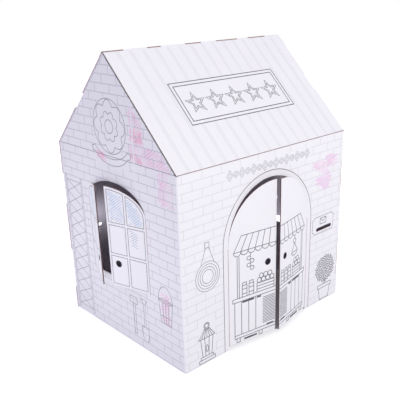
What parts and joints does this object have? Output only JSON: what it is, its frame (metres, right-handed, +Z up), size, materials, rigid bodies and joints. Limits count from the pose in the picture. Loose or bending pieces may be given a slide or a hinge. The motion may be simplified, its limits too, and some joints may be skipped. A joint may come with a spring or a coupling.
{
  "type": "cardboard playhouse",
  "caption": "Child's playhouse of folded corrugated board: pitched roof, arched double doors, arched shuttered windows and mail slots, held by interlocking edge fingers.",
  "frame": {"origin": "middle of the floor plan, on the floor", "axes": "+X along the ridge to the right-hand gable, +Y from the front wall to the back wall, +Z up"},
  "size_m": [0.944, 0.7522, 1.008],
  "materials": {
    "white_lined_board": "matt white liner over brown flutes"
  },
  "bodies": {
    "house": {"front_sheet": "white_lined_board", "back_sheet": "white_lined_board"},
    "front_door_left": {"front_door_left": "white_lined_board"},
    "front_door_right": {"front_door_right": "white_lined_board"},
    "back_door_left": {"back_door_left": "white_lined_board"},
    "back_door_right": {"back_door_right": "white_lined_board"},
    "left_wall_shutter_left": {"left_wall_shutter_left": "white_lined_board"},
    "left_wall_shutter_right": {"left_wall_shutter_right": "white_lined_board"},
    "right_wall_shutter_left": {"right_wall_shutter_left": "white_lined_board"},
    "right_wall_shutter_right": {"right_wall_shutter_right": "white_lined_board"}
  },
  "joints": [
    {"name": "front_door_left_hinge", "type": "hinge", "parent": "house", "child": "front_door_left", "pos_m": [-0.204, -0.332, 0], "axis": [0, 0, -1], "range_deg": [-9, 141]},
    {"name": "front_door_right_hinge", "type": "hinge", "parent": "house", "child": "front_door_right", "pos_m": [0.204, -0.332, 0], "axis": [0, 0, 1], "range_deg": [-12.5, 137.5]},
    {"name": "back_door_left_hinge", "type": "hinge", "parent": "house", "child": "back_door_left", "pos_m": [0.204, 0.332, 0], "axis": [0, 0, -1], "range_deg": [-12.5, 137.5]},
    {"name": "back_door_right_hinge", "type": "hinge", "parent": "house", "child": "back_door_right", "pos_m": [-0.204, 0.332, 0], "axis": [0, 0, 1], "range_deg": [-9, 141]},
    {"name": "left_wall_shutter_left_hinge", "type": "hinge", "parent": "house", "child": "left_wall_shutter_left", "pos_m": [-0.405, 0.165, 0], "axis": [0, 0, -1], "range_deg": [-24, 126]},
    {"name": "left_wall_shutter_right_hinge", "type": "hinge", "parent": "house", "child": "left_wall_shutter_right", "pos_m": [-0.405, -0.165, 0], "axis": [0, 0, 1], "range_deg": [-15.5, 134.5]},
    {"name": "right_wall_shutter_left_hinge", "type": "hinge", "parent": "house", "child": "right_wall_shutter_left", "pos_m": [0.405, -0.165, 0], "axis": [0, 0, -1], "range_deg": [-15.5, 134.5]},
    {"name": "right_wall_shutter_right_hinge", "type": "hinge", "parent": "house", "child": "right_wall_shutter_right", "pos_m": [0.405, 0.165, 0], "axis": [0, 0, 1], "range_deg": [-24, 126]}
  ]
}
